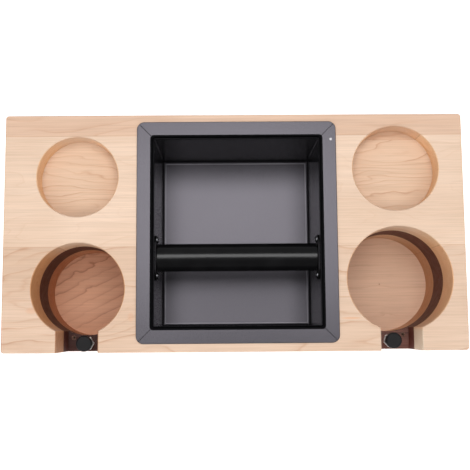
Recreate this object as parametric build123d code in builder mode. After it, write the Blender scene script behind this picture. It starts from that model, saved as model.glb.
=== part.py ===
from build123d import *
import os

# Wooden espresso station block with a drop-in steel knock-out bin.
# Lengths are in millimetres. The origin is on the table under the middle of the block,
# +X to the right, +Y to the back and +Z up.

# Layers and boards of the block
walnut_layer_height = 31.0
top_layer_height = 30.0
front_board_width = 81.5
back_board_width = 16.7
block_corner_radius = 2.5
edge_bevel = 0.6
cut_overrun = 5.0

# Deep pockets for portafilters, each open to the front through a slot
pocket_depth = 88.5
pocket_floor_thickness = 11.5
left_pocket_diameter = 72.0
left_pocket_side_wall = 22.2
left_pocket_front_wall = 13.0
left_pocket_well_wall = 15.6
right_pocket_diameter = 82.0
right_pocket_side_wall = 10.8
right_pocket_front_wall = 14.5
right_pocket_well_wall = 13.2
slot_width = 32.0
slot_depth_in_walnut = 20.0

# Shallow recesses for a tamper and a distribution tool, behind the pockets
recess_depth = 18.5
recess_shift_x = -1.2
left_recess_diameter = 63.5
left_recess_front_wall = 20.3
left_recess_back_wall = 17.2
right_recess_diameter = 67.5
right_recess_front_wall = 12.3
right_recess_back_wall = 9.7

# Pilot hole in the floor of each slot
pilot_diameter = 1.6
pilot_rim_diameter = 4.0
pilot_depth = 6.0
pilot_to_post_x = 11.5
pilot_to_post_y = 4.6

# Knock-out bin, folded from one sheet
sheet_thickness = 1.2
bin_inner_width = 129.4
bin_inner_length = 146.4
bin_inner_depth = 90.0
flange_overlap = 6.3
flange_corner_radius = 6.0
rim_bend_radius = 2.7
flange_edge_bevel = 0.4
bin_bend_radius = 2.2
bin_corner_radius = 0.8
mitre_groove_width = 0.4
mitre_groove_depth = 0.8
mitre_groove_margin = 2.0
coating_mark_diameter = 2.0
coating_mark_depth = 0.3
coating_mark_side_margin = 4.0
coating_mark_back_margin = 14.4
well_clearance = 6.2
well_corner_radius = 8.0
well_front_wall = 12.7
well_back_wall = 12.1

# Knock bar across the bin
bar_drop = 12.0
bar_to_front_wall = 53.5
sleeve_wall = 2.9
sleeve_clearance = 0.1
sleeve_end_gap = 0.2
sleeve_end_rounding = 1.0
tube_diameter = 16.0
tube_wall = 1.5
bar_plate_thickness = 1.2
bar_plate_margin = 0.5
bar_plate_end_margin = 3.6
plug_length = 8.0
plug_clearance = 0.05
bar_screw_to_sleeve = 0.3
bar_screw_diameter = 3.0
bar_screw_head_diameter = 5.7
bar_screw_head_height = 1.65
bar_screw_tip = 0.8
bar_nut_across_flats = 5.5
bar_nut_height = 2.4
screw_hole_clearance = 0.1

# Portafilter rest posts, one in each slot
stud_diameter = 6.0
stud_reserve = 4.3
stud_point = 0.8
thread_clearance = 0.05
jam_nut_across_flats = 10.0
jam_nut_height = 5.0
left_jam_nut_turn = 0.0
right_jam_nut_turn = 17.0
insert_diameter = 9.0
insert_floor_thickness = 1.5
insert_clearance = 0.05
stud_hole_clearance = 0.3
post_travel_down = 7.5
post_travel_up = 8.0
post_stop_gap = 0.5
stud_tip_clearance = 1.5
rest_pad_height = 7.0
rest_pad_margin = 0.1
rest_pad_top_rounding = 1.4
rest_pad_base_rounding = 2.4
stud_collar_diameter = 9.0
stud_collar_thickness = 1.6
stud_collar_depth = 2.0
pad_socket_clearance = 0.1

# Rubber feet, screwed into the base layer
foot_diameter = 20.0
foot_height = 5.0
foot_inset = 15.0
foot_taper = 1.0
foot_recess_diameter = 9.0
foot_recess_depth = 3.0
foot_screw_diameter = 3.5
foot_screw_head_diameter = 7.0
foot_screw_head_height = 2.0
foot_screw_grip = 13.0
foot_screw_point = 2.5
foot_screw_end_bevel = 1.2

# Bin, well and bar
bin_outer_width = bin_inner_width + 2 * sheet_thickness
bin_outer_length = bin_inner_length + 2 * sheet_thickness
well_width = bin_outer_width + 2 * well_clearance
well_length = bin_outer_length + 2 * well_clearance
flange_width = well_width + 2 * flange_overlap
flange_length = well_length + 2 * flange_overlap
sleeve_diameter = tube_diameter + 2 * (sleeve_clearance + sleeve_wall)
bar_screw_spacing = sleeve_diameter + 2 * bar_screw_to_sleeve + bar_screw_head_diameter
bar_plate_length = bar_screw_spacing + 2 * bar_plate_end_margin
bar_plate_height = tube_diameter + 2 * bar_plate_margin
bar_span = bin_inner_width - 2 * bar_plate_thickness

# The block is as large as its rows of hollows and the walls between them
block_width = (
    left_pocket_side_wall
    + left_pocket_diameter
    + left_pocket_well_wall
    + well_width
    + right_pocket_well_wall
    + right_pocket_diameter
    + right_pocket_side_wall
)
left_row = left_pocket_front_wall + left_pocket_diameter + left_recess_front_wall
left_row += left_recess_diameter + left_recess_back_wall
right_row = right_pocket_front_wall + right_pocket_diameter + right_recess_front_wall
right_row += right_recess_diameter + right_recess_back_wall
block_length = max(left_row, well_front_wall + well_length + well_back_wall, right_row)
base_layer_height = pocket_depth + pocket_floor_thickness - walnut_layer_height - top_layer_height

# Heights
base_layer_z = foot_height
walnut_layer_z = base_layer_z + base_layer_height
top_layer_z = walnut_layer_z + walnut_layer_height
block_top_z = top_layer_z + top_layer_height
slot_floor_z = top_layer_z - slot_depth_in_walnut
bin_top_z = block_top_z + sheet_thickness
bin_floor_z = bin_top_z - bin_inner_depth
bin_bottom_z = bin_floor_z - sheet_thickness
bar_z = block_top_z - bar_drop

# Places of the hollows, the bin and its bar
left_pocket_x = -block_width / 2 + left_pocket_side_wall + left_pocket_diameter / 2
left_pocket_y = -block_length / 2 + left_pocket_front_wall + left_pocket_diameter / 2
right_pocket_x = block_width / 2 - right_pocket_side_wall - right_pocket_diameter / 2
right_pocket_y = -block_length / 2 + right_pocket_front_wall + right_pocket_diameter / 2
left_recess_x = left_pocket_x + recess_shift_x
left_recess_y = block_length / 2 - left_recess_back_wall - left_recess_diameter / 2
right_recess_x = right_pocket_x + recess_shift_x
right_recess_y = block_length / 2 - right_recess_back_wall - right_recess_diameter / 2
bin_x = left_pocket_x + left_pocket_diameter / 2 + left_pocket_well_wall + well_width / 2
bin_y = -block_length / 2 + well_front_wall + well_length / 2
bar_y = bin_y - bin_inner_length / 2 + bar_to_front_wall
bar_screw_places = [
    (bar_y - bar_screw_spacing / 2, bar_z),
    (bar_y + bar_screw_spacing / 2, bar_z),
]

# Places of the posts
left_post_y = (left_pocket_front_wall - block_length) / 2
right_post_y = (right_pocket_front_wall - block_length) / 2
rest_pad_diameter = left_pocket_front_wall - 2 * rest_pad_margin
rest_pad_z = slot_floor_z + jam_nut_height + post_stop_gap + post_travel_down
stud_top_z = rest_pad_z + stud_collar_depth + stud_collar_thickness
insert_low_z = walnut_layer_z + insert_floor_thickness
stud_low_z = insert_low_z - post_travel_up - stud_reserve
stud_hole_bottom_z = stud_low_z - post_travel_down - stud_tip_clearance
posts = {
    "left": (left_pocket_x, left_post_y),
    "right": (right_pocket_x, right_post_y),
}
pilot_places = [
    (left_pocket_x - pilot_to_post_x, left_post_y + pilot_to_post_y, slot_floor_z),
    (right_pocket_x + pilot_to_post_x, right_post_y + pilot_to_post_y, slot_floor_z),
]

# Places of the feet
foot_x = block_width / 2 - foot_inset
foot_y = block_length / 2 - foot_inset
feet = {
    "front_left": (-foot_x, -foot_y),
    "front_right": (foot_x, -foot_y),
    "back_left": (-foot_x, foot_y),
    "back_right": (foot_x, foot_y),
}

os.makedirs("parts", exist_ok=True)


def save(piece, name):
    """Label a finished piece and write it to its own file."""
    piece.part.label = name
    export_step(piece.part, f"parts/{name}.step")


# Everything that is cut from the glued block from above
with BuildPart() as hollows:
    with BuildSketch(Plane.XY.offset(block_top_z + cut_overrun)):
        with Locations((left_pocket_x, left_pocket_y)):
            Circle(left_pocket_diameter / 2)
        with Locations((right_pocket_x, right_pocket_y)):
            Circle(right_pocket_diameter / 2)
    extrude(amount=-(pocket_depth + cut_overrun))
    with BuildSketch(Plane.XY.offset(block_top_z + cut_overrun)):
        with Locations((left_recess_x, left_recess_y)):
            Circle(left_recess_diameter / 2)
        with Locations((right_recess_x, right_recess_y)):
            Circle(right_recess_diameter / 2)
    extrude(amount=-(recess_depth + cut_overrun))
    with BuildSketch(Plane.XY.offset(block_top_z + cut_overrun)):
        for slot_x, slot_end_y in ((left_pocket_x, left_pocket_y), (right_pocket_x, right_pocket_y)):
            slot_run = slot_end_y + block_length / 2 + cut_overrun
            with Locations((slot_x, slot_end_y - slot_run / 2)):
                Rectangle(slot_width, slot_run)
    extrude(amount=slot_floor_z - block_top_z - cut_overrun)
    with BuildSketch(Plane.XY.offset(block_top_z + cut_overrun)):
        with Locations((bin_x, bin_y)):
            RectangleRounded(well_width, well_length, well_corner_radius)
    extrude(amount=-(block_top_z + cut_overrun))


# Top layer, cut and bevelled along its edges once its boards are glued
with BuildPart() as top_layer:
    with BuildSketch(Plane.XY.offset(top_layer_z)):
        RectangleRounded(block_width, block_length, block_corner_radius)
    extrude(amount=top_layer_height)
    add(hollows.part, mode=Mode.SUBTRACT)
    top_face = top_layer.faces().sort_by(Axis.Z)[-1]
    recess_rims = top_face.inner_wires().sort_by(SortBy.LENGTH)[:2]
    chamfer(top_face.outer_wire().edges() + recess_rims[0].edges() + recess_rims[1].edges(), edge_bevel)


def top_board(name, low_x, high_x, low_y, high_y):
    """One board of the top layer, between its seams or hollows."""
    with BuildPart() as board:
        add(top_layer.part)
        with BuildSketch(Plane.XY.offset(top_layer_z)):
            with Locations(((low_x + high_x) / 2, (low_y + high_y) / 2)):
                Rectangle(high_x - low_x, high_y - low_y)
        extrude(amount=top_layer_height, mode=Mode.INTERSECT)
    save(board, name)


# Boards: a back strip, a middle board cut in two by the well and a front board cut in three
beyond_x = block_width / 2 + cut_overrun
beyond_y = block_length / 2 + cut_overrun
front_seam_y = -block_length / 2 + front_board_width
back_seam_y = block_length / 2 - back_board_width
top_board("top_board_back", -beyond_x, beyond_x, back_seam_y, beyond_y)
top_board("top_board_left", -beyond_x, bin_x, front_seam_y, back_seam_y)
top_board("top_board_right", bin_x, beyond_x, front_seam_y, back_seam_y)
top_board("top_board_front_left", -beyond_x, left_pocket_x, -beyond_y, front_seam_y)
top_board("top_board_front_middle", left_pocket_x, right_pocket_x, -beyond_y, front_seam_y)
top_board("top_board_front_right", right_pocket_x, beyond_x, -beyond_y, front_seam_y)

# Dark middle layer, with the slot floors, their pilot holes and the seats of the inserts
with BuildPart() as walnut_layer:
    with BuildSketch(Plane.XY.offset(walnut_layer_z)):
        RectangleRounded(block_width, block_length, block_corner_radius)
    extrude(amount=walnut_layer_height)
    add(hollows.part, mode=Mode.SUBTRACT)
    with BuildSketch(Plane.XY.offset(slot_floor_z)):
        with Locations(*posts.values()):
            Circle(insert_diameter / 2 + insert_clearance)
    extrude(amount=insert_low_z - slot_floor_z, mode=Mode.SUBTRACT)
    with BuildSketch(Plane.XY.offset(slot_floor_z)):
        with Locations(*posts.values()):
            Circle(stud_diameter / 2 + stud_hole_clearance)
    extrude(amount=walnut_layer_z - slot_floor_z, mode=Mode.SUBTRACT)
    with Locations(*pilot_places):
        CounterSinkHole(pilot_diameter / 2, pilot_rim_diameter / 2, depth=pilot_depth)
save(walnut_layer, "walnut_layer")

# Base layer, with the pocket floors, the ends of the stud holes and the foot screw holes
with BuildPart() as base_layer:
    with BuildSketch(Plane.XY.offset(base_layer_z)):
        RectangleRounded(block_width, block_length, block_corner_radius)
    extrude(amount=base_layer_height)
    chamfer(base_layer.faces().sort_by(Axis.Z)[0].edges(), edge_bevel)
    add(hollows.part, mode=Mode.SUBTRACT)
    with BuildSketch(Plane.XY.offset(walnut_layer_z)):
        with Locations(*posts.values()):
            Circle(stud_diameter / 2 + stud_hole_clearance)
    extrude(amount=stud_hole_bottom_z - walnut_layer_z, mode=Mode.SUBTRACT)
    with BuildSketch(Plane.XY.offset(base_layer_z)):
        with Locations(*feet.values()):
            Circle(foot_screw_diameter / 2 + screw_hole_clearance)
    extrude(amount=foot_screw_grip + foot_screw_point, mode=Mode.SUBTRACT)
save(base_layer, "base_layer")

# Rubber feet, tapered towards the table and recessed for the screw heads
for place, foot_place in feet.items():
    with BuildPart() as foot:
        with BuildSketch(Plane.XY.offset(foot_height)):
            with Locations(foot_place):
                Circle(foot_diameter / 2)
        with BuildSketch(Plane.XY):
            with Locations(foot_place):
                Circle(foot_diameter / 2 - foot_taper)
        loft()
        with BuildSketch(Plane.XY):
            with Locations(foot_place):
                Circle(foot_recess_diameter / 2)
        extrude(amount=foot_recess_depth, mode=Mode.SUBTRACT)
        with BuildSketch(Plane.XY):
            with Locations(foot_place):
                Circle(foot_screw_diameter / 2 + screw_hole_clearance)
        extrude(amount=foot_height, mode=Mode.SUBTRACT)
    save(foot, f"foot_{place}")

# Foot screws, heads down in the feet and points in the base layer
with BuildPart() as foot_screws:
    with BuildSketch(Plane.XY.offset(foot_recess_depth)):
        with Locations(*feet.values()):
            Circle(foot_screw_head_diameter / 2)
    extrude(amount=-foot_screw_head_height)
    with BuildSketch(Plane.XY.offset(foot_recess_depth)):
        with Locations(*feet.values()):
            Circle(foot_screw_diameter / 2)
    extrude(amount=foot_height - foot_recess_depth + foot_screw_grip)
    screw_ends = foot_screws.edges().group_by(Axis.Z)[-1]
    chamfer(screw_ends, foot_screw_end_bevel)
    fillet(foot_screws.edges().group_by(Axis.Z)[0], foot_screw_head_height / 2)
save(foot_screws, "foot_screws")


def thread_insert(name, post_x, post_y):
    """Threaded metal sleeve, flush with the slot floor."""
    with BuildPart() as sleeve:
        with BuildSketch(Plane.XY.offset(slot_floor_z)):
            with Locations((post_x, post_y)):
                Circle(insert_diameter / 2)
                Circle(stud_diameter / 2 + thread_clearance, mode=Mode.SUBTRACT)
        extrude(amount=insert_low_z - slot_floor_z)
    save(sleeve, name)


def jam_nut(name, post_x, post_y, turn):
    """Hexagon nut on the slot floor, its corners bevelled above and below."""
    corner_radius = jam_nut_across_flats / 3**0.5
    bevel = (corner_radius - jam_nut_across_flats / 2) / 2
    with BuildPart() as nut:
        with BuildSketch(Plane.XY.offset(slot_floor_z)):
            with Locations((post_x, post_y)):
                RegularPolygon(jam_nut_across_flats / 2, 6, major_radius=False, rotation=turn)
        extrude(amount=jam_nut_height)
        with BuildSketch(Plane.XZ.offset(-post_y)):
            with BuildLine():
                Polyline(
                    (post_x, slot_floor_z),
                    (post_x + corner_radius - 2 * bevel, slot_floor_z),
                    (post_x + corner_radius, slot_floor_z + bevel),
                    (post_x + corner_radius, slot_floor_z + jam_nut_height - bevel),
                    (post_x + corner_radius - 2 * bevel, slot_floor_z + jam_nut_height),
                    (post_x, slot_floor_z + jam_nut_height),
                    close=True,
                )
            make_face()
        revolve(axis=Axis((post_x, post_y, 0), (0, 0, 1)), mode=Mode.INTERSECT)
        with BuildSketch(Plane.XY.offset(slot_floor_z)):
            with Locations((post_x, post_y)):
                Circle(stud_diameter / 2 + thread_clearance)
        extrude(amount=jam_nut_height, mode=Mode.SUBTRACT)
    save(nut, name)


def stud(name, post_x, post_y):
    """Threaded rod with a round collar on top, which turns inside the rubber pad."""
    collar_z = stud_top_z - stud_collar_thickness
    with BuildPart() as rod:
        with BuildSketch(Plane.XZ.offset(-post_y)):
            with BuildLine():
                Polyline(
                    (post_x, stud_low_z),
                    (post_x + stud_diameter / 2 - stud_point, stud_low_z),
                    (post_x + stud_diameter / 2, stud_low_z + stud_point),
                    (post_x + stud_diameter / 2, collar_z),
                    (post_x + stud_collar_diameter / 2, collar_z),
                    (post_x + stud_collar_diameter / 2, stud_top_z),
                    (post_x, stud_top_z),
                    close=True,
                )
            make_face()
        revolve(axis=Axis((post_x, post_y, 0), (0, 0, 1)))
    save(rod, name)


def rest_pad(name, post_x, post_y):
    """Rubber puck with a socket that holds the collar of the stud."""
    collar_z = stud_top_z - stud_collar_thickness
    with BuildPart() as pad:
        with BuildSketch(Plane.XY.offset(rest_pad_z)):
            with Locations((post_x, post_y)):
                Circle(rest_pad_diameter / 2)
        extrude(amount=rest_pad_height)
        fillet(pad.edges().group_by(Axis.Z)[-1], rest_pad_top_rounding)
        fillet(pad.edges().group_by(Axis.Z)[0], rest_pad_base_rounding)
        with BuildSketch(Plane.XY.offset(rest_pad_z)):
            with Locations((post_x, post_y)):
                Circle(stud_diameter / 2 + pad_socket_clearance)
        extrude(amount=stud_collar_depth, mode=Mode.SUBTRACT)
        with BuildSketch(Plane.XY.offset(collar_z - pad_socket_clearance)):
            with Locations((post_x, post_y)):
                Circle(stud_collar_diameter / 2 + pad_socket_clearance)
        extrude(amount=stud_collar_thickness + 2 * pad_socket_clearance, mode=Mode.SUBTRACT)
    save(pad, name)


# Rest posts at the mouths of the two pockets
for side, (post_x, post_y) in posts.items():
    thread_insert(f"{side}_thread_insert", post_x, post_y)
    stud(f"{side}_stud", post_x, post_y)
    rest_pad(f"{side}_rest_pad", post_x, post_y)
jam_nut("left_jam_nut", *posts["left"], left_jam_nut_turn)
jam_nut("right_jam_nut", *posts["right"], right_jam_nut_turn)

# Space inside the bin, rounded where the sheet is bent and less where its corners are welded
with BuildPart() as bin_inside:
    with BuildSketch(Plane.XY.offset(bin_floor_z)):
        with Locations((bin_x, bin_y)):
            Rectangle(bin_inner_width, bin_inner_length)
    extrude(amount=bin_inner_depth)
    fillet(bin_inside.edges().filter_by(Axis.Z), bin_corner_radius)
    fillet(bin_inside.edges().group_by(Axis.Z)[0], bin_bend_radius)

# Bin: one folded sheet with a mitred flange and a small mark where it was held for coating
with BuildPart() as knock_bin:
    with BuildSketch(Plane.XY.offset(bin_bottom_z)):
        with Locations((bin_x, bin_y)):
            Rectangle(bin_outer_width, bin_outer_length)
    extrude(amount=bin_top_z - bin_bottom_z)
    fillet(knock_bin.edges().filter_by(Axis.Z), bin_corner_radius + sheet_thickness)
    fillet(knock_bin.edges().group_by(Axis.Z)[0], bin_bend_radius + sheet_thickness)
    with BuildSketch(Plane.XY.offset(block_top_z)):
        with Locations((bin_x, bin_y)):
            RectangleRounded(flange_width, flange_length, flange_corner_radius)
    extrude(amount=sheet_thickness)
    underside = knock_bin.faces().filter_by(Axis.Z).group_by(Axis.Z)[1]
    fillet(underside[0].inner_wires()[0].edges(), rim_bend_radius - sheet_thickness)
    add(bin_inside.part, mode=Mode.SUBTRACT)
    flange_top = knock_bin.faces().sort_by(Axis.Z)[-1]
    fillet(flange_top.inner_wires()[0].edges(), rim_bend_radius)
    flange_top = knock_bin.faces().sort_by(Axis.Z)[-1]
    chamfer(flange_top.outer_wire().edges(), flange_edge_bevel)
    with BuildSketch(Plane.XY.offset(bin_top_z)):
        for side_x, side_y, mitre_angle in ((1, 1, 45), (-1, 1, 135), (-1, -1, 225), (1, -1, 315)):
            mitre_x = bin_x + side_x * (bin_inner_width / 2 + mitre_groove_margin)
            mitre_y = bin_y + side_y * (bin_inner_length / 2 + mitre_groove_margin)
            with Locations(Location((mitre_x, mitre_y, 0), (0, 0, mitre_angle))):
                Rectangle(flange_width, mitre_groove_width, align=(Align.MIN, Align.CENTER))
    extrude(amount=-mitre_groove_depth, mode=Mode.SUBTRACT)
    with BuildSketch(Plane.XY.offset(bin_top_z)):
        coating_mark_x = bin_x + flange_width / 2 - coating_mark_side_margin
        coating_mark_y = bin_y + flange_length / 2 - coating_mark_back_margin
        with Locations((coating_mark_x, coating_mark_y)):
            Circle(coating_mark_diameter / 2)
    extrude(amount=-coating_mark_depth, mode=Mode.SUBTRACT)
    with BuildSketch(Plane.YZ.offset(bin_x)):
        with Locations(*bar_screw_places):
            Circle(bar_screw_diameter / 2 + screw_hole_clearance)
    extrude(amount=bin_outer_width, both=True, mode=Mode.SUBTRACT)
save(knock_bin, "knock_bin")

# Knock bar: a steel tube in a rubber sleeve
with BuildPart() as bar_tube:
    with BuildSketch(Plane.YZ.offset(bin_x)):
        with Locations((bar_y, bar_z)):
            Circle(tube_diameter / 2)
            Circle(tube_diameter / 2 - tube_wall, mode=Mode.SUBTRACT)
    extrude(amount=bar_span / 2, both=True)
save(bar_tube, "bar_tube")

with BuildPart() as bar_sleeve:
    with BuildSketch(Plane.YZ.offset(bin_x)):
        with Locations((bar_y, bar_z)):
            Circle(sleeve_diameter / 2)
    extrude(amount=bar_span / 2 - sleeve_end_gap, both=True)
    fillet(bar_sleeve.edges(), sleeve_end_rounding)
    with BuildSketch(Plane.YZ.offset(bin_x)):
        with Locations((bar_y, bar_z)):
            Circle(tube_diameter / 2 + sleeve_clearance)
    extrude(amount=bar_span, both=True, mode=Mode.SUBTRACT)
save(bar_sleeve, "bar_sleeve")


def bar_plate(name, outward):
    """Oval plate against the bin wall, with a plug that carries the end of the tube."""
    wall_x = bin_x + outward * bin_inner_width / 2
    with BuildPart() as plate:
        with BuildSketch(Plane.YZ.offset(wall_x)):
            with Locations((bar_y, bar_z)):
                SlotOverall(bar_plate_length, bar_plate_height)
            with Locations(*bar_screw_places):
                Circle(bar_screw_diameter / 2 + screw_hole_clearance, mode=Mode.SUBTRACT)
        extrude(amount=-outward * bar_plate_thickness)
        with BuildSketch(Plane.YZ.offset(wall_x)):
            with Locations((bar_y, bar_z)):
                Circle(tube_diameter / 2 - tube_wall - plug_clearance)
        extrude(amount=-outward * (bar_plate_thickness + plug_length))
    save(plate, name)


bar_plate("left_bar_plate", -1)
bar_plate("right_bar_plate", 1)

# Dome-headed screws, from inside the bin through plate and wall
with BuildPart() as bar_screws:
    shank_length = bar_plate_thickness + sheet_thickness + bar_nut_height + bar_screw_tip
    for outward in (-1, 1):
        seat_x = bin_x + outward * bar_span / 2
        for screw_y, screw_z in bar_screw_places:
            with BuildSketch(Plane.XY.offset(screw_z)):
                with BuildLine():
                    dome_top = (seat_x - outward * bar_screw_head_height, screw_y)
                    dome_rim = (seat_x, screw_y + bar_screw_head_diameter / 2)
                    TangentArc(dome_top, dome_rim, tangent=(0, 1))
                    Polyline(
                        dome_rim,
                        (seat_x, screw_y + bar_screw_diameter / 2),
                        (seat_x + outward * shank_length, screw_y + bar_screw_diameter / 2),
                        (seat_x + outward * shank_length, screw_y),
                        dome_top,
                    )
                make_face()
            revolve(axis=Axis((seat_x, screw_y, screw_z), (1, 0, 0)))
save(bar_screws, "bar_screws")

# Nuts outside the bin, in the gap to the wood
with BuildPart() as bar_nuts:
    for outward in (-1, 1):
        wall_x = bin_x + outward * bin_outer_width / 2
        with BuildSketch(Plane.YZ.offset(wall_x)):
            with Locations(*bar_screw_places):
                RegularPolygon(bar_nut_across_flats / 2, 6, major_radius=False)
                Circle(bar_screw_diameter / 2 + thread_clearance, mode=Mode.SUBTRACT)
        extrude(amount=outward * bar_nut_height)
save(bar_nuts, "bar_nuts")
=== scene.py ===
import math

import bpy
from mathutils import Matrix, Vector


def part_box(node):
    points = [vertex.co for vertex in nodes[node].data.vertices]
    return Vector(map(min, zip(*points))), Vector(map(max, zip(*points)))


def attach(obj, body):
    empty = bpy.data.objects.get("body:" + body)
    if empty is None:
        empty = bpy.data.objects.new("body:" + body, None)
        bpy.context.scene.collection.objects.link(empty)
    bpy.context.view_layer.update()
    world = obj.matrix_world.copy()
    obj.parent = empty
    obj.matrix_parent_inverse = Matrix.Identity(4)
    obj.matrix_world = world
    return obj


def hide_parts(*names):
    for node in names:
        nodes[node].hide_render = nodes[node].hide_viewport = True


# The espresso station block, dressed for the studio: grained maple and walnut, a powder-coated
# bin, rubber and threaded steel. Lengths are in metres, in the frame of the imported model.

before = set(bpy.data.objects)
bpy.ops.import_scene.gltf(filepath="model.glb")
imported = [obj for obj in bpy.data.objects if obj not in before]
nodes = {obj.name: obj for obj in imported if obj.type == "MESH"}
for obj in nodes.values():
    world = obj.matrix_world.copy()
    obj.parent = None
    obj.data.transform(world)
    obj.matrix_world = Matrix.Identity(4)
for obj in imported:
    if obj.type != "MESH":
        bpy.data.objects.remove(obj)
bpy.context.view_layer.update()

# Places in that frame. Every CAD node has its origin there, so the object coordinates of a
# material are such places too.
block_half_width, block_half_length = 0.180, 0.093
outer_skin = 0.0003
seams = (("y", -0.0115), ("y", 0.0763), ("z", 0.075), ("z", 0.044))
middle_band = 0.08
recess_floor_limit = 0.090
slot_floor_limit = 0.0552
slot_back, bore_front = -0.0757, -0.0747
posts = {"left": (-0.1218, -0.0865), "right": (0.1282, -0.08575)}
nut_turns = {"left": 0.0, "right": 17.0}
pilots = ((-0.1333, -0.0819), (0.1397, -0.08115))
right_pocket = (0.1282, -0.0375)
bin_low, bin_high, bin_floor = (-0.0628, -0.0729), (0.0666, 0.0735), 0.0162
bend_low, bend_high, bend_corner, rim_top = (-0.0660, -0.0761), (0.0698, 0.0767), 0.0028, 0.1062
bare_mark = (0.0763, 0.0728)

plain = (1.0, 1.0, 1.0)
per_mm, per_cm = 1000.0, 100.0


class Shader:
    """The node tree of one material, wired up node by node."""

    def __init__(self, name):
        self.material = bpy.data.materials.new(name)
        self.material.use_nodes = True
        self.tree = self.material.node_tree
        self.surface = self.tree.nodes["Principled BSDF"]
        self.place = self.add("ShaderNodeTexCoord").outputs["Object"]

    def add(self, kind, inputs=(), **settings):
        node = self.tree.nodes.new(kind)
        for key, value in settings.items():
            setattr(node, key, value)
        for key, value in dict(inputs).items():
            self.feed(node.inputs[key], value)
        return node

    def feed(self, socket, value):
        if isinstance(value, bpy.types.NodeSocket):
            self.tree.links.new(value, socket)
        else:
            socket.default_value = value

    def set(self, **inputs):
        for key, value in inputs.items():
            self.feed(self.surface.inputs[key.replace("_", " ")], value)

    def math(self, operation, first, second=0.0, clamp=False):
        node = self.add("ShaderNodeMath", operation=operation, use_clamp=clamp)
        self.feed(node.inputs[0], first)
        self.feed(node.inputs[1], second)
        return node.outputs[0]

    def plus(self, first, second):
        return self.math("ADD", first, second)

    def minus(self, first, second, clamp=False):
        return self.math("SUBTRACT", first, second, clamp)

    def times(self, first, second, clamp=False):
        return self.math("MULTIPLY", first, second, clamp)

    def most(self, first, second):
        return self.math("MAXIMUM", first, second)

    def above(self, value, limit):
        return self.math("GREATER_THAN", value, limit)

    def below(self, value, limit):
        return self.math("LESS_THAN", value, limit)

    def amount(self, value):
        return self.math("ABSOLUTE", value)

    def squares(self, first, second):
        return self.plus(self.times(first, first), self.times(second, second))

    def parts(self, vector):
        node = self.add("ShaderNodeSeparateXYZ", {"Vector": vector})
        return node.outputs["X"], node.outputs["Y"], node.outputs["Z"]

    def facing(self):
        """The parts of the surface normal, in the frame of the object."""
        return self.parts(self.add("ShaderNodeTexCoord").outputs["Normal"])

    def mapped(self, scale, shift=(0, 0, 0)):
        inputs = {"Vector": self.place, "Scale": scale, "Location": shift}
        return self.add("ShaderNodeMapping", inputs).outputs["Vector"]

    def noise(self, vector, scale=1.0, detail=3.0, roughness=0.5):
        inputs = {"Vector": vector, "Scale": scale, "Detail": detail, "Roughness": roughness}
        return self.add("ShaderNodeTexNoise", inputs).outputs["Fac"]

    def level(self, factor, *stops):
        """A level by a factor from 0 to 1, running straight between stops of factor and level."""
        node = self.add("ShaderNodeValToRGB", {"Fac": factor})
        band = node.color_ramp
        while len(band.elements) < len(stops):
            band.elements.new(0.5)
        for element, (position, value) in zip(band.elements, stops):
            element.position = position
            element.color = (value, value, value, 1)
        return node.outputs["Color"]

    def level_along(self, place, *stops):
        """A level by a signed place, which is shifted by a half because ramps start at zero."""
        return self.level(self.plus(place, 0.5), *((at + 0.5, value) for at, value in stops))

    def mix(self, factor, first, second, blend="MIX"):
        node = self.add("ShaderNodeMix", data_type="RGBA", blend_type=blend)
        self.feed(node.inputs["Factor"], factor)
        self.feed(node.inputs["A"], first if not isinstance(first, tuple) else (*first, 1))
        self.feed(node.inputs["B"], second if not isinstance(second, tuple) else (*second, 1))
        return node.outputs["Result"]

    def toned(self, body, tone):
        """A colour multiplied by a tone."""
        return self.mix(1.0, body, tone, "MULTIPLY")

    def near(self, spot, radius, low, high):
        """One inside an upright cylinder round the spot between two heights, zero outside it."""
        x, y, z = self.parts(self.place)
        square = self.squares(self.minus(x, spot[0]), self.minus(y, spot[1]))
        inside = self.times(self.above(z, low), self.below(z, high))
        return self.times(inside, self.below(square, radius * radius))

    def upright(self, facing_z):
        """One on walls, zero on floors and tops."""
        return self.level(self.amount(facing_z), (0.30, 1.0), (0.60, 0.0))

    def bump(self, height, distance, strength):
        inputs = {"Height": height, "Distance": distance, "Strength": strength}
        self.set(Normal=self.add("ShaderNodeBump", inputs).outputs["Normal"])


def dress(shader, *names):
    """Give a finished material to the CAD nodes named."""
    for name in names:
        piece = nodes[name]
        if piece.material_slots:
            for material_slot in piece.material_slots:
                material_slot.material = shader.material
        else:
            piece.data.materials.append(shader.material)


def ring_count(shader, pith, rings, slope, bend, wander, ripple, ripple_along):
    """How many growth rings lie between a place and the pith, which runs along X."""
    x, y, z = shader.parts(shader.place)
    # The pith wanders and may bend, which makes the rings wave on the face.
    slow = shader.noise(shader.mapped((7, 24, 24), shift=pith), detail=2.0)
    quick = shader.noise(shader.mapped((ripple_along, 110, 110), shift=pith), detail=2.0)
    wave = shader.times(shader.minus(slow, 0.5), wander * 3)
    wave = shader.plus(wave, shader.times(shader.minus(quick, 0.5), wander * ripple))
    along = shader.minus(x, pith[0])
    knee_softness = 0.003
    knee = shader.math("SQRT", shader.plus(shader.times(along, along), knee_softness))
    course = shader.plus(shader.times(along, bend[0]), shader.times(knee, bend[1]))
    across = shader.plus(shader.minus(shader.minus(y, pith[1]), course), wave)
    up = shader.plus(shader.minus(z, pith[2]), shader.plus(shader.times(along, slope), wave))
    return shader.times(shader.math("SQRT", shader.squares(across, up)), rings)


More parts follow.
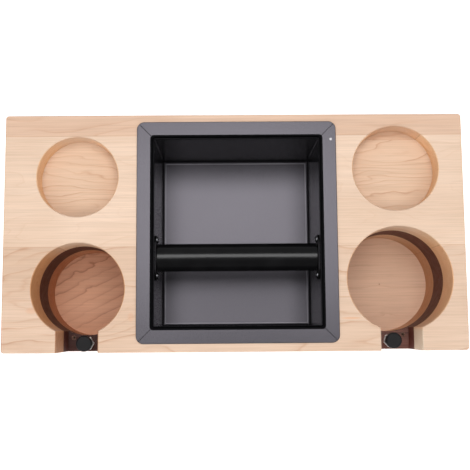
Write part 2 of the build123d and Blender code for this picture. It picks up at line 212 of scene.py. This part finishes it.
def ring_lines(shader, x, ring, line_amount):
    """How strongly the dark late wood of the rings shows at a place."""
    late = shader.level(
        shader.math("FRACT", ring),
        (0.0, 0.30), (0.08, 0.0), (0.62, 0.06), (0.84, 0.35), (0.94, 1.0), (1.0, 0.45),
    )
    # Some rings are strong and others all but missing, and each fades along its length.
    inputs = {"X": shader.times(x, 14.0), "Y": shader.math("FLOOR", ring)}
    number = shader.add("ShaderNodeCombineXYZ", inputs).outputs[0]
    strong = shader.level(shader.noise(number, scale=0.7, detail=1.0), (0.38, 0.08), (0.60, 1.0))
    return shader.times(shader.times(late, strong), line_amount)


def timber(
    name, tone, line, pith, rings, slope, line_amount, end_tone, wall_light_tone,
    wander=0.012, bend=(0.0, 0.0), ripple=0.35, ripple_along=30, fibre=0.14,
    recess_shade_tone=None, recess_lines=2.0, left_tone=None, left_lines=None, left_end_tone=None,
    cheek_light_tones=None, slot_floor_tones=None, flecks=(), prick=None, countersinks=(),
):
    """Sawn wood: growth rings round a sloping pith, cut by the faces, with fibres along the grain.

    A tone multiplies the colour of the wood. A pair of tones holds for the left and the right.
    """
    shader = Shader(name)
    x, y, z = shader.parts(shader.place)
    facing_x, _, facing_z = shader.facing()
    ring = ring_count(shader, pith, rings, slope, bend, wander, ripple, ripple_along)
    lines = ring_lines(shader, x, ring, line_amount)
    fine = shader.noise(shader.mapped((22, 1500, 1500)), detail=3.0, roughness=0.6)
    streak = shader.noise(shader.mapped((8, 240, 240), shift=pith), detail=3.0)
    cloud = shader.noise(shader.mapped((11, 24, 24), shift=pith), detail=2.0)
    pale = tuple(channel * 1.07 for channel in tone)
    deep = (tone[0] * 0.95, tone[1] * 0.91, tone[2] * 0.87)
    body = shader.mix(shader.level(cloud, (0.32, 0.0), (0.70, 1.0)), pale, deep)
    streaky = shader.times(shader.level(streak, (0.40, 0.0), (0.72, 1.0)), 0.5)
    body = shader.mix(streaky, body, deep)

    if recess_shade_tone:
        # The milled floors of the recesses are darkened as painted shade, and their rings stand
        # out.
        soft = 0.001
        shaded_recess_floor = shader.level(z, (recess_floor_limit - soft, 1.0), (recess_floor_limit + soft, 0.0))
        body = shader.mix(shaded_recess_floor, body, shader.toned(body, recess_shade_tone))
        gain = shader.plus(shader.times(shaded_recess_floor, recess_lines - 1.0), 1.0)
        lines = shader.times(lines, gain, clamp=True)

    # The left half may have tones of its own, but the outer faces all go by the right half.
    right = shader.level_along(x, (-middle_band, 0.0), (middle_band, 1.0))
    past_end = shader.above(shader.amount(x), block_half_width - outer_skin)
    past_side = shader.above(shader.amount(y), block_half_length - outer_skin)
    outer = shader.most(past_end, past_side)
    right = shader.most(right, outer)
    if left_lines:
        gain = shader.plus(shader.times(right, 1.0 - left_lines), left_lines)
        lines = shader.times(lines, gain, clamp=True)
    body = shader.mix(lines, body, line)
    if left_tone:
        body = shader.toned(body, shader.mix(right, left_tone, plain))

    # End grain drinks the oil and changes its tone.
    end_on = shader.level(shader.amount(facing_x), (0.25, 0.0), (0.75, 1.0))
    if left_end_tone:
        end_tone = shader.mix(right, left_end_tone, end_tone)
    if cheek_light_tones:
        # Painted shade on the cheeks of the left slot and painted light on those of the right one.
        slot_cheek_light = shader.level_along(y, (slot_back, 1.0), (bore_front, 0.0))
        end_tone = shader.mix(slot_cheek_light, end_tone, shader.mix(right, *cheek_light_tones))
    outer_end_tone = (0.92, 0.80, 0.66)
    end_tone = shader.mix(outer, end_tone, outer_end_tone)
    body = shader.toned(body, shader.mix(end_on, plain, end_tone))
    # Painted light and shade on the inner walls, by a tone given for each wood; the outer faces
    # keep none.
    wall_light_mask = shader.minus(shader.upright(facing_z), outer, clamp=True)
    body = shader.toned(body, shader.mix(wall_light_mask, plain, wall_light_tone))

    for axis, at in seams:
        away = shader.amount(shader.minus(y if axis == "y" else z, at))
        glue = shader.level(shader.times(away, per_mm), (0.12, 0.45), (0.30, 0.0))
        body = shader.mix(glue, body, line)
    for fleck_x, fleck_y, length, width, strength in flecks:
        # A pin knot or a pitch streak, drawn out along the grain.
        along = shader.times(shader.minus(x, fleck_x), 1.0 / length)
        over = shader.times(shader.minus(y, fleck_y), 1.0 / width)
        reach = shader.plus(shader.squares(along, over), shader.minus(streak, 0.5))
        fleck = shader.level(reach, (0.15, strength), (1.0, 0.0))
        body = shader.mix(fleck, body, (0.62, 0.30, 0.16))
    if slot_floor_tones:
        # The left slot's floor lies in deep shade, and the right one's catches some light.
        on_floor = shader.times(shader.above(facing_z, 0.8), shader.below(z, slot_floor_limit))
        floor_tone = shader.mix(right, *slot_floor_tones)
        body = shader.toned(body, shader.mix(on_floor, plain, floor_tone))
    if prick:
        # The point of the boring bit left a prick in the middle of the floor.
        pricked = shader.near(prick, radius=0.0007, low=0.010, high=0.020)
        body = shader.mix(shader.times(pricked, 0.6), body, line)
    for spot in countersinks:
        # The countersinks of the pilot holes were cut after the oiling and stay pale.
        cone = shader.near(spot, radius=0.0021, low=0.0480, high=0.0549)
        body = shader.mix(cone, body, (0.20, 0.115, 0.085))
    body = shader.toned(body, shader.level(fine, (0.30, 1.0 - fibre), (0.62, 1.0)))
    shader.set(Base_Color=body, IOR=1.46, Specular_IOR_Level=0.32)
    shader.set(Roughness=shader.level(streak, (0.3, 0.50), (0.7, 0.62)))
    shader.bump(shader.minus(fine, shader.times(lines, 0.6)), distance=0.00006, strength=0.5)
    return shader


def dress_wood():
    """The three boards of the top layer and the two layers below it."""
    maple_line = (0.42, 0.215, 0.115)
    maple_front = timber(
        "maple_front", (0.594, 0.439, 0.333), maple_line,
        pith=(-0.10, -0.30, 0.02), rings=90, slope=-0.05, line_amount=0.62, wander=0.030,
        left_tone=(0.975, 0.955, 0.94), end_tone=(1.15, 0.93, 0.70),
        left_end_tone=(0.98, 0.70, 0.44), wall_light_tone=(1.12, 1.10, 1.07),
        cheek_light_tones=((0.66, 0.46, 0.33), (1.05, 1.15, 1.19)),
        # Each fleck has its place, half its length and half its width, and its strength.
        flecks=(
            (-0.1570, -0.0605, 0.0050, 0.0028, 0.30),
            (-0.0805, -0.0660, 0.0028, 0.0042, 0.24),
            (0.0895, -0.0678, 0.0085, 0.0008, 0.55),
        ),
    )
    maple_middle = timber(
        "maple_middle", (0.642, 0.484, 0.371), maple_line,
        pith=(0.0, -0.22, 0.03), rings=205, slope=-0.03, line_amount=0.15, wander=0.022,
        recess_shade_tone=(0.95, 0.90, 0.84), recess_lines=4.6,
        end_tone=(1.10, 0.95, 0.75), wall_light_tone=(1.15, 1.13, 1.08),
    )
    maple_back = timber(
        "maple_back", (0.595, 0.416, 0.308), maple_line,
        pith=(0.02, 0.30, 0.02), rings=120, slope=0.10, line_amount=0.34, wander=0.026,
        recess_shade_tone=(0.92, 0.87, 0.80), end_tone=(1.10, 0.95, 0.75), wall_light_tone=(1.15, 1.13, 1.08),
    )
    walnut = timber(
        "walnut", (0.124, 0.043, 0.031), (0.032, 0.012, 0.008),
        pith=(0.0, 0.12, -0.05), rings=260, slope=0.05, line_amount=0.55, fibre=0.45,
        left_tone=(0.66, 0.55, 0.51), end_tone=(0.95, 0.72, 0.68), wall_light_tone=(0.98, 0.78, 0.64),
        slot_floor_tones=((0.64, 0.62, 0.60), (1.38, 1.65, 1.75)), countersinks=pilots,
    )
    base_maple = timber(
        "base_maple", (0.745, 0.515, 0.375), (0.36, 0.165, 0.095),
        pith=(0.0, 0.12, -0.10), rings=150, slope=0.04, line_amount=0.22,
        bend=(0.22, -0.27), wander=0.026, ripple=2.2, ripple_along=55,
        left_lines=3.2, left_tone=(0.90, 0.70, 0.60),
        end_tone=(0.84, 0.70, 0.60), wall_light_tone=(0.94, 0.86, 0.72), prick=right_pocket,
    )
    dress(maple_front, "top_board_front_left", "top_board_front_middle", "top_board_front_right")
    dress(maple_middle, "top_board_left", "top_board_right")
    dress(maple_back, "top_board_back")
    dress(walnut, "walnut_layer")
    dress(base_maple, "base_layer")


def in_rounded_box(shader, low, high, corner):
    """One inside an upright box with rounded corners, zero outside it."""
    past_edges = []
    for at, near_edge, far_edge in zip(shader.parts(shader.place), low, high):
        away = shader.amount(shader.minus(at, (near_edge + far_edge) / 2))
        past_edges.append(shader.most(shader.minus(away, (far_edge - near_edge) / 2 - corner), 0.0))
    return shader.below(shader.squares(*past_edges), corner * corner)


def inward(shader, low, high):
    """How far inside the walls of an upright box a place lies."""
    least = None
    for at, near_edge, far_edge in zip(shader.parts(shader.place), low, high):
        for gap in (shader.minus(at, near_edge), shader.minus(far_edge, at)):
            least = gap if least is None else shader.math("MINIMUM", least, gap)
    return least


def bin_marks_and_painted_light(shader, body, rough):
    """What sets off the coat of the bin: its mitres, rim and walls darkened as painted shade, its
    bare mark, and a floor line that is a painted highlight.
    """
    _, _, z = shader.parts(shader.place)
    # The mitre grooves and the start of the bend lie in shadow, which is painted in as a duller,
    # blacker coat.
    depth = shader.times(shader.minus(rim_top, z), per_mm)
    shaded_groove = shader.level(depth, (0.40, 0.0), (0.50, 1.0))
    bend = in_rounded_box(shader, bend_low, bend_high, bend_corner)
    dull = shader.times(shader.most(shaded_groove, bend), shader.below(depth, 0.95))
    bare = shader.near(bare_mark, radius=0.00102, low=0.1055, high=0.107)
    body = shader.mix(dull, body, (0.004, 0.004, 0.0045))
    body = shader.mix(bare, body, (0.20, 0.195, 0.20))
    # The walls of the bin are darkened as painted shade, and are a little smoother.
    shaded_bin_wall = shader.upright(shader.facing()[2])
    rough = shader.minus(rough, shader.times(shaded_bin_wall, 0.04))
    body = shader.mix(shaded_bin_wall, body, (0.005, 0.005, 0.0055))
    rough = shader.mix(dull, rough, (0.55, 0.55, 0.55))
    shader.set(Metallic=shader.most(dull, bare))
    # Along the bends of the floor a thin pale line is painted in as a highlight.
    bend_highlight_reach = shader.times(inward(shader, bin_low, bin_high), per_cm)
    line = shader.level(bend_highlight_reach, (0.20, 0.0), (0.22, 0.8), (0.25, 0.8), (0.28, 0.0))
    from_floor = shader.above(z, bin_floor - 0.0002)
    on_floor = shader.times(from_floor, shader.below(z, bin_floor + 0.0006))
    body = shader.mix(shader.times(line, on_floor), body, (0.15, 0.145, 0.155))
    return body, rough


def coat(name, colour, roughness, specular=0.5, marks=None):
    """Baked powder coat, dark and satin, with the fine orange peel that it dries to."""
    shader = Shader(name)
    peel = shader.noise(shader.mapped((2600, 2600, 2600)), detail=2.0, roughness=0.6)
    cloud = shader.noise(shader.mapped((30, 30, 30)), detail=3.0)
    tone = tuple(channel * 1.18 for channel in colour)
    body = shader.mix(shader.level(cloud, (0.35, 0.0), (0.65, 1.0)), colour, tone)
    rough = shader.level(peel, (0.3, roughness - 0.04), (0.7, roughness + 0.05))
    if marks:
        body, rough = marks(shader, body, rough)
    shader.set(Base_Color=body, IOR=1.55, Specular_IOR_Level=specular)
    shader.set(Specular_Tint=(1.0, 0.94, 1.06, 1), Roughness=rough)
    shader.bump(peel, distance=0.00004, strength=0.35)
    return shader


def rubber(name, colour, roughness, specular=0.4):
    """Moulded rubber with a faint bloom and a fine tooth."""
    shader = Shader(name)
    tooth = shader.noise(shader.mapped((1800, 1800, 1800)), detail=3.0, roughness=0.65)
    bloom = shader.noise(shader.mapped((60, 60, 60)), detail=4.0)
    dusty = tuple(channel * 1.6 + 0.002 for channel in colour)
    body = shader.mix(shader.level(bloom, (0.45, 0.0), (0.75, 0.6)), colour, dusty)
    shader.set(Base_Color=body, Specular_IOR_Level=specular)
    shader.set(Roughness=shader.level(tooth, (0.3, roughness - 0.05), (0.7, roughness + 0.06)))
    shader.bump(tooth, distance=0.00005, strength=0.4)
    return shader


def metal(name, colour, roughness):
    """Bare metal with fine turning marks round an upright axis."""
    shader = Shader(name)
    marks = shader.noise(shader.mapped((60, 60, 2400)), detail=3.0, roughness=0.6)
    stain = shader.noise(shader.mapped((240, 240, 240)), detail=3.0)
    dull = tuple(channel * 0.78 for channel in colour)
    body = shader.mix(shader.level(stain, (0.42, 0.0), (0.70, 0.8)), colour, dull)
    shader.set(Base_Color=body, Metallic=1.0)
    shader.set(Roughness=shader.level(marks, (0.3, roughness - 0.06), (0.7, roughness + 0.08)))
    shader.bump(marks, distance=0.00002, strength=0.4)
    return shader


def plated_nut(name, post, turned):
    """Zinc plating, with a painted highlight along the edges of a nut and painted shade on its top.
    """
    shader = Shader(name)
    marks = shader.noise(shader.mapped((60, 60, 2400)), detail=3.0, roughness=0.6)
    x, y, _ = shader.parts(shader.place)
    off_x, off_y = shader.minus(x, post[0]), shader.minus(y, post[1])
    # The farthest reach along the three directions across the flats follows the hexagon.
    outward = 0.0
    for step in (30, 90, 150):
        angle = math.radians(turned + step)
        reach_x = shader.times(off_x, math.cos(angle))
        reach_y = shader.times(off_y, math.sin(angle))
        outward = shader.most(outward, shader.amount(shader.plus(reach_x, reach_y)))
    # Bright along the edges as a painted highlight, dark on the top as painted shade.
    edge_highlight = shader.level(shader.times(outward, per_cm), (0.462, 0.0), (0.470, 1.0))
    body = shader.mix(edge_highlight, (0.16, 0.145, 0.135), (0.97, 0.95, 0.93))
    shader.set(Base_Color=body, Metallic=1.0)
    shader.set(Roughness=shader.level(edge_highlight, (0.0, 0.42), (1.0, 0.56)))
    shader.bump(marks, distance=0.00002, strength=0.4)
    return shader


def lathe(name, rows, place, axis, sides=24):
    """A turned piece: rows of (radius, height) along an axis; a radius may depend on the angle."""
    turn = Vector((0, 0, 1)).rotation_difference(Vector(axis)).to_matrix()
    points = []
    faces = []
    for radius, height in rows:
        for side in range(sides):
            angle = math.tau * side / sides
            reach = radius(angle) if callable(radius) else radius
            spot = Vector((reach * math.cos(angle), reach * math.sin(angle), height))
            points.append(turn @ spot + Vector(place))
    for row in range(len(rows) - 1):
        for side in range(sides):
            after = (side + 1) % sides
            here, there = row * sides, (row + 1) * sides
            faces.append((here + side, here + after, there + after, there + side))
    faces.append(tuple(reversed(range(sides))))
    last = (len(rows) - 1) * sides
    faces.append(tuple(range(last, last + sides)))
    mesh = bpy.data.meshes.new(name)
    mesh.from_pydata(points, [], faces)
    mesh.update()
    return mesh


def hexagon(flat):
    """Radius of a hexagonal socket by angle, from half its width across flats."""
    return lambda angle: flat / math.cos((angle + math.pi / 6) % (math.pi / 3) - math.pi / 6)


def cross(arm, half_width):
    """Radius of a cross recess by angle."""

    def radius(angle):
        run = max(abs(math.cos(angle)), 1e-6)
        rise = max(abs(math.sin(angle)), 1e-6)
        return max(min(arm / run, half_width / rise), min(half_width / run, arm / rise))

    return radius


def joined(name, meshes, shader, node, body):
    """One object out of several meshes, standing in for a CAD node and moving with its body."""
    points = []
    faces = []
    for mesh in meshes:
        first = len(points)
        points += [vertex.co.copy() for vertex in mesh.vertices]
        faces += [tuple(first + index for index in polygon.vertices) for polygon in mesh.polygons]
    whole = bpy.data.meshes.new(name)
    whole.from_pydata(points, [], faces)
    whole.shade_smooth()
    whole.set_sharp_from_angle(angle=math.radians(32))
    whole.update()
    piece = bpy.data.objects.new(name, whole)
    bpy.context.scene.collection.objects.link(piece)
    whole.materials.append(shader.material)
    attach(piece, body)
    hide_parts(node)


def threaded(name, place, low, high, crest, root, pitch, steps=18):
    """A screw thread wound round an upright axis, flat at both ends."""
    # Each turn runs up this outline: a radius and a height in parts of the pitch.
    profile = ((root, 0.0), (root, 0.18), (crest, 0.46), (crest, 0.64))
    corners = len(profile)
    turns = math.ceil((high - low) / pitch) + 2
    points = []
    faces = []
    for step in range(turns * steps + 1):
        angle = math.tau * step / steps
        for radius, rise in profile:
            height = low + pitch * (step / steps - 1 + rise)
            height = min(max(height, low), high)
            across, over = radius * math.cos(angle), radius * math.sin(angle)
            points.append((place[0] + across, place[1] + over, height))
    for step in range(turns * steps):
        here, there = step * corners, (step + 1) * corners
        for spot in range(corners - 1):
            faces.append((here + spot, there + spot, there + spot + 1, here + spot + 1))
        above = here + steps * corners
        if above + corners < len(points):
            faces.append((here + corners - 1, there + corners - 1, above + corners, above))
    mesh = bpy.data.meshes.new(name)
    mesh.from_pydata(points, [], faces)
    mesh.update()
    return mesh


def threaded_studs(steel):
    """Threaded studs with the collars that hold the rubber heads."""
    crest, root, pitch = 0.003, 0.00242, 0.001
    core, core_tip, tip_bevel = 0.00245, 0.0020, 0.0004
    collar_height, collar, collar_edge, collar_bevel = 0.0016, 0.0045, 0.0043, 0.0002
    for side in ("left", "right"):
        low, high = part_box(f"{side}_stud")
        centre = (low + high) / 2
        foot = high.z - collar_height
        thread = threaded("thread", centre, low.z, foot, crest, root, pitch)
        core_rows = ((core_tip, low.z), (core, low.z + tip_bevel), (core, foot))
        collar_rows = (
            (0.0029, foot), (collar_edge, foot), (collar, foot + collar_bevel),
            (collar, high.z - collar_bevel), (collar_edge, high.z),
        )
        inner = lathe("core", core_rows, (centre.x, centre.y, 0), (0, 0, 1))
        head = lathe("collar", collar_rows, (centre.x, centre.y, 0), (0, 0, 1))
        pieces = (thread, inner, head)
        joined(f"{side}_threaded_stud", pieces, steel, f"{side}_stud", f"{side}_stud")


def knock_bar_screws(black_steel):
    """Button-head screws with hexagonal sockets, two at each end of the bar."""
    low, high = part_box("bar_screws")
    bar_low, bar_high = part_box("bar_tube")
    middle_z = (low.z + high.z) / 2
    head = 0.00285
    # Radius and height, from the tip of the shank over the domed head into the socket.
    rows = (
        (0.0011, -0.0056), (0.0015, -0.0052), (0.0015, 0.0),
        (head, 0.0), (head, 0.00025), (0.0026, 0.00085),
        (0.0022, 0.00125), (0.0017, 0.0015), (0.0013, 0.00165),
        (hexagon(0.001), 0.00160), (hexagon(0.00095), 0.0007),
    )
    heads = []
    for face_x, inner_side in ((bar_low.x, 1), (bar_high.x, -1)):
        for y in (low.y + head, high.y - head):
            heads.append(lathe("button_head", rows, (face_x, y, middle_z), (inner_side, 0, 0)))
    joined("button_head_screws", heads, black_steel, "bar_screws", "bin")


def foot_screw_heads(steel):
    """Pan-head screws with cross recesses, up through the feet."""
    low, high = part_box("foot_screws")
    head, head_height = 0.0035, 0.002
    # Radius and height, from the tip of the shank over the pan head into the cross recess.
    rows = (
        (0.0004, -0.0150), (0.00175, -0.0125), (0.00175, 0.0),
        (head, 0.0), (head, 0.0007), (0.0032, 0.0014),
        (0.0027, 0.0018), (0.0021, head_height),
        (cross(0.0018, 0.00045), 0.00195), (cross(0.0013, 0.0003), 0.0008),
    )
    screws = []
    for x in (low.x + head, high.x - head):
        for y in (low.y + head, high.y - head):
            screws.append(lathe("pan_head", rows, (x, y, low.z + head_height), (0, 0, -1)))
    joined("pan_head_screws", screws, steel, "foot_screws", "block")


def dress_hardware():
    """The bin, the knock bar, the posts and the feet, with the screws drawn in full."""
    steel = metal("steel", (0.62, 0.61, 0.59), 0.30)
    black_steel = metal("black_steel", (0.17, 0.17, 0.18), 0.17)
    brass = metal("brass", (0.66, 0.47, 0.20), 0.30)
    powder = coat("powder_coat", (0.0105, 0.010, 0.0115), 0.30, marks=bin_marks_and_painted_light)
    plate_coat = coat("plate_coat", (0.003, 0.003, 0.003), 0.45, specular=0.10)
    sleeve_rubber = rubber("sleeve_rubber", (0.0035, 0.0034, 0.0037), 0.19, specular=0.23)
    pad_rubber = rubber("pad_rubber", (0.0085, 0.0085, 0.0095), 0.60, specular=0.22)
    foot_rubber = rubber("foot_rubber", (0.018, 0.018, 0.018), 0.66)
    dress(powder, "knock_bin")
    dress(plate_coat, "left_bar_plate", "right_bar_plate")
    dress(sleeve_rubber, "bar_sleeve")
    dress(pad_rubber, "left_rest_pad", "right_rest_pad")
    dress(foot_rubber, "foot_front_left", "foot_front_right", "foot_back_left", "foot_back_right")
    dress(steel, "bar_nuts", "bar_tube", "foot_screws", "left_stud", "right_stud")
    dress(black_steel, "bar_screws")
    dress(brass, "left_thread_insert", "right_thread_insert")
    for side, post in posts.items():
        dress(plated_nut(f"{side}_nut_zinc", post, nut_turns[side]), f"{side}_jam_nut")
    threaded_studs(steel)
    knock_bar_screws(black_steel)
    foot_screw_heads(steel)


def softbox(name, place, aim, width, height, watts, mirrored=True):
    """A rectangular soft light, hidden from the camera, and mirrored by glossy parts or not."""
    lamp = bpy.data.lights.new(name, "AREA")
    lamp.shape = "RECTANGLE"
    lamp.size = width
    lamp.size_y = height
    lamp.energy = watts
    light = bpy.data.objects.new(name, lamp)
    turn = (Vector(aim) - Vector(place)).to_track_quat("-Z", "Y").to_matrix().to_4x4()
    light.matrix_world = Matrix.Translation(place) @ turn
    light.visible_camera = False
    light.visible_glossy = mirrored
    bpy.context.scene.collection.objects.link(light)


def lights():
    """The overhead lights whose mirror images lie on the bin, and softer ones round the block."""
    middle = (0.0, 0.0, 0.1)
    softbox("overhead", (0.0, 0.222, 1.25), (0.0, 0.222, 0.0), 0.72, 0.50, watts=7.9)
    softbox("corner_left", (-0.25, -0.12, 1.25), (-0.25, -0.12, 0.0), 0.18, 0.20, watts=0.6)
    softbox("corner_right", (0.26, -0.12, 1.25), (0.26, -0.12, 0.0), 0.16, 0.20, watts=0.4)
    # The lights in front leave no mirror image, so the bar keeps its one highlight.
    for name, side in (("front_left", -1), ("front_right", 1)):
        place, aim = (side * 0.40, -0.52, 1.25), (side * 0.12, -0.04, 0.0)
        softbox(name, place, aim, 0.6, 0.5, watts=3.5, mirrored=False)
    softbox("low_front", (0.0, -1.25, 0.60), middle, 1.2, 0.5, watts=4.8, mirrored=False)
    softbox("left", (-0.95, -0.25, 0.75), middle, 0.8, 0.7, watts=2.7)
    softbox("right", (0.95, 0.25, 0.85), middle, 0.8, 0.7, watts=2.4)


def room():
    """A dim room, lighter behind the block, that the camera sees as a white backdrop."""
    world = bpy.data.worlds.new("studio")
    bpy.context.scene.world = world
    world.use_nodes = True
    tree = world.node_tree
    tree.nodes.clear()

    def add(kind, **settings):
        node = tree.nodes.new(kind)
        for key, value in settings.items():
            setattr(node, key, value)
        return node

    def stepped(value, start, end, low, high):
        """A smooth step from one level to another."""
        node = add("ShaderNodeMapRange", interpolation_type="SMOOTHSTEP")
        ranges = {"From Min": start, "From Max": end, "To Min": low, "To Max": high}
        for key, number in ranges.items():
            node.inputs[key].default_value = number
        tree.links.new(value, node.inputs["Value"])
        return node.outputs["Result"]

    def both(operation, first, second):
        node = add("ShaderNodeMath", operation=operation)
        tree.links.new(first, node.inputs[0])
        tree.links.new(second, node.inputs[1])
        return node.outputs[0]

    direction = add("ShaderNodeSeparateXYZ")
    tree.links.new(add("ShaderNodeTexCoord").outputs["Generated"], direction.inputs[0])
    sky = add("ShaderNodeBackground")
    sky.inputs["Color"].default_value = (0.98, 0.985, 1.0, 1)
    sky_light = stepped(direction.outputs["Y"], -0.8, 0.8, 0.14, 0.38)
    tree.links.new(sky_light, sky.inputs["Strength"])
    backdrop = add("ShaderNodeBackground")
    backdrop.inputs["Color"].default_value = (1, 1, 1, 1)
    backdrop.inputs["Strength"].default_value = 1.0
    # Metal and glass show the white backdrop as well, but only near the horizon, where it stands
    # round the table. Higher up, its image would grey the coat and the rubber.
    path = add("ShaderNodeLightPath")
    near_horizon = stepped(direction.outputs["Z"], 0.07, 0.14, 1.0, 0.0)
    polished = both("MAXIMUM", path.outputs["Is Glossy Ray"], path.outputs["Is Transmission Ray"])
    mirrored = both("MULTIPLY", polished, near_horizon)
    shown = both("MAXIMUM", path.outputs["Is Camera Ray"], mirrored)
    mix = add("ShaderNodeMixShader")
    out = add("ShaderNodeOutputWorld")
    tree.links.new(shown, mix.inputs["Fac"])
    tree.links.new(sky.outputs[0], mix.inputs[1])
    tree.links.new(backdrop.outputs[0], mix.inputs[2])
    tree.links.new(mix.outputs[0], out.inputs["Surface"])


def table_top():
    """A wide white table under the block, which can be looked through from beneath."""
    reach = 16.0
    corners = [(-reach, -reach, 0), (reach, -reach, 0), (reach, reach, 0), (-reach, reach, 0)]
    mesh = bpy.data.meshes.new("table_top")
    mesh.from_pydata(corners, [], [(0, 1, 2, 3)])
    table = bpy.data.objects.new("table_top", mesh)
    bpy.context.scene.collection.objects.link(table)
    shader = Shader("table_white")
    shader.set(Base_Color=(0.88, 0.88, 0.88, 1), Roughness=0.8)
    # Far from the block, where no lamp reaches, a glow lets the table still read as white.
    x, y, _ = shader.parts(shader.place)
    distance = shader.math("SQRT", shader.squares(x, y))
    glow = shader.level(shader.times(distance, 0.2), (0.14, 0.45), (0.45, 0.95))
    shader.set(Emission_Color=(1, 1, 1, 1), Emission_Strength=glow)
    beneath = shader.add("ShaderNodeNewGeometry").outputs["Backfacing"]
    clear = shader.add("ShaderNodeBsdfTransparent")
    one_sided = shader.add("ShaderNodeMixShader", {"Fac": beneath})
    shader.feed(one_sided.inputs[1], shader.surface.outputs[0])
    shader.feed(one_sided.inputs[2], clear.outputs[0])
    shader.feed(shader.tree.nodes["Material Output"].inputs["Surface"], one_sided.outputs[0])
    mesh.materials.append(shader.material)


def camera():
    """The camera above the block, as fitted to the photograph."""
    lens = bpy.data.cameras.new("camera")
    lens.sensor_width = 36
    lens.lens = 62.47
    lens.clip_start = 0.01
    viewer = bpy.data.objects.new("camera", lens)
    place, tilt = (-0.00537, -0.07365, 0.7364), Vector((0.11175, -0.00843, -0.00713))
    turn = Matrix.Rotation(tilt.length, 4, tilt.normalized())
    viewer.matrix_world = Matrix.Translation(place) @ turn
    bpy.context.scene.collection.objects.link(viewer)
    bpy.context.scene.camera = viewer
    bpy.context.scene.view_settings.view_transform = "Standard"


dress_wood()
dress_hardware()
room()
lights()
table_top()
camera()
